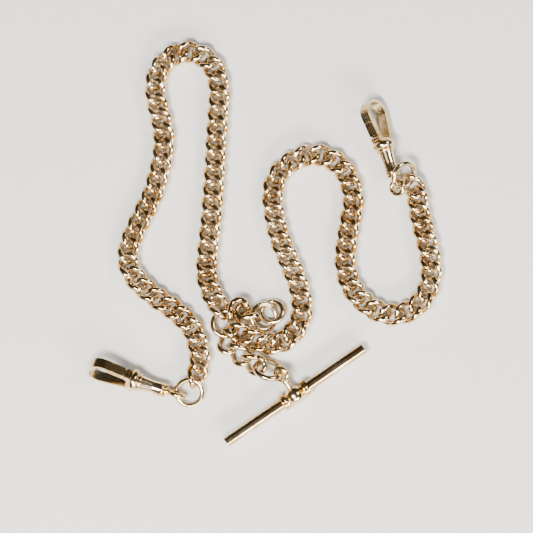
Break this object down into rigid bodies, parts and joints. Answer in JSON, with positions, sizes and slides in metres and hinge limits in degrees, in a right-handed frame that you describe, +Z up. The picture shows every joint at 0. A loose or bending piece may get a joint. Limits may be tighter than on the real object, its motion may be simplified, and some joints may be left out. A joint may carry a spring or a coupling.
{
  "type": "pocket watch chain",
  "caption": "Double Albert watch chain: two curb-link arms with swivel dog clips, a T-bar drop and a short fob drop with rings.",
  "frame": {"origin": "on the table, under the middle of the whole layout as it lies", "axes": "+Z up from the table, +Y from the T-bar towards the tall loop, +X towards the arm with the upright clip"},
  "size_m": [0.0887, 0.103, 0.0078],
  "materials": {
    "chain_gold": "polished 9 carat rose gold, warm, worn bright on the high spots",
    "fitting_gold": "polished yellower gold",
    "spring_steel": "thin blued leaf"
  },
  "bodies": {
    "centre": {"centre_ring": "chain_gold"},
    "left_arm_01": {"left_links_01": "chain_gold"},
    "left_arm_02": {"left_links_02": "chain_gold"},
    "left_arm_03": {"left_links_03": "chain_gold"},
    "left_arm_04": {"left_links_04": "chain_gold"},
    "left_arm_05": {"left_links_05": "chain_gold"},
    "left_arm_06": {"left_links_06": "chain_gold"},
    "left_arm_07": {"left_links_07": "chain_gold"},
    "left_arm_08": {"left_links_08": "chain_gold"},
    "left_arm_09": {"left_links_09": "chain_gold"},
    "left_arm_10": {"left_links_10": "chain_gold"},
    "left_arm_11": {"left_links_11": "chain_gold"},
    "left_arm_12": {"left_links_12": "chain_gold"},
    "left_arm_13": {"left_links_13": "chain_gold"},
    "left_arm_14": {"left_links_14": "chain_gold"},
    "left_arm_15": {"left_links_15": "chain_gold"},
    "right_arm_01": {"right_links_01": "chain_gold"},
    "right_arm_02": {"right_links_02": "chain_gold"},
    "right_arm_03": {"right_links_03": "chain_gold"},
    "right_arm_04": {"right_links_04": "chain_gold"},
    "right_arm_05": {"right_links_05": "chain_gold"},
    "right_arm_06": {"right_links_06": "chain_gold"},
    "right_arm_07": {"right_links_07": "chain_gold"},
    "right_arm_08": {"right_links_08": "chain_gold"},
    "right_arm_09": {"right_links_09": "chain_gold"},
    "right_arm_10": {"right_links_10": "chain_gold"},
    "right_arm_11": {"right_links_11": "chain_gold"},
    "right_arm_12": {"right_links_12": "chain_gold"},
    "right_arm_13": {"right_links_13": "chain_gold"},
    "right_arm_14": {"right_links_14": "chain_gold"},
    "bar_drop_1": {"bar_drop_link_1": "chain_gold"},
    "bar_drop_2": {"bar_drop_link_2": "chain_gold"},
    "bar_drop_3": {"bar_drop_link_3": "chain_gold"},
    "fob_drop_1": {"fob_drop_link_1": "chain_gold"},
    "fob_drop_2": {"fob_drop_link_2": "chain_gold"},
    "jump_ring": {"bar_jump_ring": "chain_gold"},
    "fob_ring": {"fob_round_ring": "chain_gold"},
    "end_ring": {"fob_end_ring": "fitting_gold"},
    "left_ring": {"left_clip_ring": "chain_gold"},
    "right_ring": {"right_clip_ring": "chain_gold"},
    "t_bar": {"bar_tube": "chain_gold", "bar_end_caps": "chain_gold", "bar_boss": "fitting_gold", "bar_collars": "fitting_gold", "bar_eye": "fitting_gold"},
    "left_swivel": {"left_swivel_eye": "fitting_gold"},
    "left_clip": {"left_barrel": "chain_gold", "left_end_ring": "fitting_gold", "left_hook": "chain_gold", "left_gate_pin": "chain_gold"},
    "left_gate": {"left_gate": "chain_gold", "left_gate_spring": "spring_steel"},
    "right_swivel": {"right_swivel_eye": "fitting_gold"},
    "right_clip": {"right_barrel": "chain_gold", "right_end_ring": "fitting_gold", "right_hook": "chain_gold", "right_gate_pin": "chain_gold"},
    "right_gate": {"right_gate": "chain_gold", "right_gate_spring": "spring_steel"}
  },
  "joints": [
    {"name": "left_clip_swivel", "type": "hinge", "parent": "left_swivel", "child": "left_clip", "pos_m": [-0.02513, -0.03761, 0.00261], "axis": [-0.9517, 0.2964, 0.0802], "continuous": true},
    {"name": "left_gate_hinge", "type": "hinge", "parent": "left_clip", "child": "left_gate", "pos_m": [-0.03416, -0.03403, 0.00504], "axis": [-0.2405, -0.8819, 0.4054], "range_deg": [0, 22], "stiffness_Nm_per_rad": 0.002, "springref_deg": -11.46},
    {"name": "right_clip_swivel", "type": "hinge", "parent": "right_swivel", "child": "right_clip", "pos_m": [0.03201, 0.0165, 0.00351], "axis": [-0.2924, 0.9563, 0.007], "continuous": true},
    {"name": "right_gate_hinge", "type": "hinge", "parent": "right_clip", "child": "right_gate", "pos_m": [0.02792, 0.02555, 0.00486], "axis": [-0.6777, -0.202, -0.7071], "range_deg": [0, 22], "stiffness_Nm_per_rad": 0.002, "springref_deg": -11.46},
    {"name": "left_clip_ring_swing", "type": "hinge", "parent": "left_arm_15", "child": "left_ring", "pos_m": [-0.01774, -0.03511, 0.00246], "axis": [-0.926, 0.3562, 0.1255], "range_deg": [-15, 19.5]},
    {"name": "right_clip_ring_swing", "type": "hinge", "parent": "right_arm_14", "child": "right_ring", "pos_m": [0.03614, 0.0148, 0.00204], "axis": [0.6544, 0.7534, -0.0637], "range_deg": [-19.5, 10.5]},
    {"name": "left_clip_eye_swing", "type": "hinge", "parent": "left_ring", "child": "left_swivel", "pos_m": [-0.02209, -0.03851, 0.00208], "axis": [0.1369, -0.9713, -0.1946], "range_deg": [-20, 20]},
    {"name": "right_clip_eye_swing", "type": "hinge", "parent": "right_ring", "child": "right_swivel", "pos_m": [0.03321, 0.01353, 0.00372], "axis": [0.686, -0.1714, -0.7071], "range_deg": [-19.5, 16.5]},
    {"name": "t_bar_swing", "type": "hinge", "parent": "jump_ring", "child": "t_bar", "pos_m": [0.00373, -0.03373, 0.00377], "axis": [0.33, 0.6435, -0.6906], "range_deg": [-24, 24]},
    {"name": "jump_ring_swing", "type": "hinge", "parent": "bar_drop_3", "child": "jump_ring", "pos_m": [-0.00238, -0.03133, 0.00304], "axis": [-0.341, -0.6392, 0.6893], "range_deg": [-12, 12]},
    {"name": "bar_drop_root", "type": "hinge", "parent": "centre", "child": "bar_drop_1", "pos_m": [-0.00976, -0.02398, 0.00215], "axis": [0.9977, 0.0673, 0], "range_deg": [-10.5, 3]},
    {"name": "bar_drop_hinge_1", "type": "hinge", "parent": "bar_drop_1", "child": "bar_drop_2", "pos_m": [-0.00826, -0.02686, 0.00265], "axis": [0.7519, 0.6593, 0], "range_deg": [-12, 4.5]},
    {"name": "bar_drop_hinge_2", "type": "hinge", "parent": "bar_drop_2", "child": "bar_drop_3", "pos_m": [-0.00496, -0.02973, 0.00289], "axis": [0.5501, 0.8351, 0], "range_deg": [-15, 9]},
    {"name": "fob_drop_root", "type": "hinge", "parent": "centre", "child": "fob_drop_1", "pos_m": [-0.00784, -0.01842, 0.00215], "axis": [-0.7421, 0.6703, 0], "range_deg": [-9, 9]},
    {"name": "fob_drop_hinge", "type": "hinge", "parent": "fob_drop_1", "child": "fob_drop_2", "pos_m": [-0.00583, -0.01811, 0.00293], "axis": [0.3003, 0.9538, 0], "range_deg": [-4.5, 7.5]},
    {"name": "fob_ring_swing", "type": "hinge", "parent": "fob_drop_2", "child": "fob_ring", "pos_m": [-0.00341, -0.01871, 0.00295], "axis": [-0.1612, -0.9816, -0.1025], "range_deg": [-15, 10.5]},
    {"name": "end_ring_swing", "type": "hinge", "parent": "fob_ring", "child": "end_ring", "pos_m": [-0.00043, -0.01909, 0.00185], "axis": [0.3242, -0.1508, 0.9339], "range_deg": [-12, 30]},
    {"name": "left_arm_root", "type": "hinge", "parent": "centre", "child": "left_arm_01", "pos_m": [-0.01118, -0.01782, 0.00215], "axis": [-0.9269, -0.3752, 0], "range_deg": [-15, 4.5]},
    {"name": "left_arm_hinge_01", "type": "hinge", "parent": "left_arm_01", "child": "left_arm_02", "pos_m": [-0.01467, -0.00758, 0.0019], "axis": [-0.9987, -0.0502, 0], "range_deg": [-18, 18]},
    {"name": "left_arm_hinge_02", "type": "hinge", "parent": "left_arm_02", "child": "left_arm_03", "pos_m": [-0.01389, 0.00392, 0.0019], "axis": [0.9959, -0.0907, 0], "range_deg": [-18, 18]},
    {"name": "left_arm_hinge_03", "type": "hinge", "parent": "left_arm_03", "child": "left_arm_04", "pos_m": [-0.01299, 0.01544, 0.0019], "axis": [-0.998, 0.0638, 0], "range_deg": [-18, 18]},
    {"name": "left_arm_hinge_04", "type": "hinge", "parent": "left_arm_04", "child": "left_arm_05", "pos_m": [-0.0124, 0.02697, 0.0019], "axis": [0.9981, -0.0616, 0], "range_deg": [-18, 18]},
    {"name": "left_arm_hinge_05", "type": "hinge", "parent": "left_arm_05", "child": "left_arm_06", "pos_m": [-0.01186, 0.0385, 0.0019], "axis": [-0.9993, -0.0362, 0], "range_deg": [-18, 18]},
    {"name": "left_arm_hinge_06", "type": "hinge", "parent": "left_arm_06", "child": "left_arm_07", "pos_m": [-0.01726, 0.04781, 0.0019], "axis": [0.377, 0.9262, 0], "range_deg": [-9, 18]},
    {"name": "left_arm_hinge_07", "type": "hinge", "parent": "left_arm_07", "child": "left_arm_08", "pos_m": [-0.02678, 0.04388, 0.0019], "axis": [0.8967, -0.4427, 0], "range_deg": [-15, 18]},
    {"name": "left_arm_hinge_08", "type": "hinge", "parent": "left_arm_08", "child": "left_arm_09", "pos_m": [-0.02685, 0.03264, 0.0019], "axis": [-0.9709, -0.2396, 0], "range_deg": [-18, 18]},
    {"name": "left_arm_hinge_09", "type": "hinge", "parent": "left_arm_09", "child": "left_arm_10", "pos_m": [-0.02614, 0.02122, 0.0019], "axis": [0.989, -0.1476, 0], "range_deg": [-18, 18]},
    {"name": "left_arm_hinge_10", "type": "hinge", "parent": "left_arm_10", "child": "left_arm_11", "pos_m": [-0.02927, 0.01015, 0.0019], "axis": [-0.9165, 0.4, 0], "range_deg": [-18, 18]},
    {"name": "left_arm_hinge_11", "type": "hinge", "parent": "left_arm_11", "child": "left_arm_12", "pos_m": [-0.03384, -0.00044, 0.0019], "axis": [0.9612, -0.2759, 0], "range_deg": [-18, 18]},
    {"name": "left_arm_hinge_12", "type": "hinge", "parent": "left_arm_12", "child": "left_arm_13", "pos_m": [-0.03111, -0.01096, 0.0019], "axis": [-0.7224, -0.6915, 0], "range_deg": [-18, 18]},
    {"name": "left_arm_hinge_13", "type": "hinge", "parent": "left_arm_13", "child": "left_arm_14", "pos_m": [-0.02212, -0.01816, 0.0019], "axis": [0.6473, 0.7622, 0], "range_deg": [-18, 18]},
    {"name": "left_arm_hinge_14", "type": "hinge", "parent": "left_arm_14", "child": "left_arm_15", "pos_m": [-0.01665, -0.02793, 0.00198], "axis": [-0.9915, -0.1298, 0], "range_deg": [-18, 16.5]},
    {"name": "right_arm_root", "type": "hinge", "parent": "centre", "child": "right_arm_01", "pos_m": [-0.00725, -0.02246, 0.00215], "axis": [0.5228, 0.8524, 0], "range_deg": [-1.5, 7.5]},
    {"name": "right_arm_hinge_01", "type": "hinge", "parent": "right_arm_01", "child": "right_arm_02", "pos_m": [0.0026, -0.02551, 0.00228], "axis": [-0.1801, 0.9836, 0], "range_deg": [-6, 12]},
    {"name": "right_arm_hinge_02", "type": "hinge", "parent": "right_arm_02", "child": "right_arm_03", "pos_m": [0.00892, -0.01718, 0.0019], "axis": [0.9997, -0.026, 0], "range_deg": [-18, 15]},
    {"name": "right_arm_hinge_03", "type": "hinge", "parent": "right_arm_03", "child": "right_arm_04", "pos_m": [0.0062, -0.00607, 0.0019], "axis": [-0.9239, -0.3827, 0], "range_deg": [-18, 18]},
    {"name": "right_arm_hinge_04", "type": "hinge", "parent": "right_arm_04", "child": "right_arm_05", "pos_m": [0.00253, 0.00485, 0.0019], "axis": [0.9803, 0.1977, 0], "range_deg": [-18, 18]},
    {"name": "right_arm_hinge_05", "type": "hinge", "parent": "right_arm_05", "child": "right_arm_06", "pos_m": [0.00297, 0.01611, 0.0019], "axis": [-0.8889, 0.458, 0], "range_deg": [-18, 18]},
    {"name": "right_arm_hinge_06", "type": "hinge", "parent": "right_arm_06", "child": "right_arm_07", "pos_m": [0.0122, 0.02186, 0.0019], "axis": [-0.005, -1, 0], "range_deg": [-18, 18]},
    {"name": "right_arm_hinge_07", "type": "hinge", "parent": "right_arm_07", "child": "right_arm_08", "pos_m": [0.02081, 0.01545, 0.0019], "axis": [0.933, 0.36, 0], "range_deg": [-18, 18]},
    {"name": "right_arm_hinge_08", "type": "hinge", "parent": "right_arm_08", "child": "right_arm_09", "pos_m": [0.02098, 0.00413, 0.0019], "axis": [-0.982, 0.1888, 0], "range_deg": [-18, 18]},
    {"name": "right_arm_hinge_09", "type": "hinge", "parent": "right_arm_09", "child": "right_arm_10", "pos_m": [0.0202, -0.00731, 0.0019], "axis": [0.9866, 0.163, 0], "range_deg": [-18, 18]},
    {"name": "right_arm_hinge_10", "type": "hinge", "parent": "right_arm_10", "child": "right_arm_11", "pos_m": [0.02628, -0.01663, 0.0019], "axis": [-0.5447, -0.8386, 0], "range_deg": [-18, 18]},
    {"name": "right_arm_hinge_11", "type": "hinge", "parent": "right_arm_11", "child": "right_arm_12", "pos_m": [0.03695, -0.01661, 0.0019], "axis": [-0.5922, 0.8058, 0], "range_deg": [-18, 18]},
    {"name": "right_arm_hinge_12", "type": "hinge", "parent": "right_arm_12", "child": "right_arm_13", "pos_m": [0.04129, -0.00649, 0.0019], "axis": [0.9992, 0.0393, 0], "range_deg": [-18, 18]},
    {"name": "right_arm_hinge_13", "type": "hinge", "parent": "right_arm_13", "child": "right_arm_14", "pos_m": [0.03911, 0.00483, 0.00193], "axis": [-0.973, -0.2309, 0], "range_deg": [-18, 18]}
  ]
}
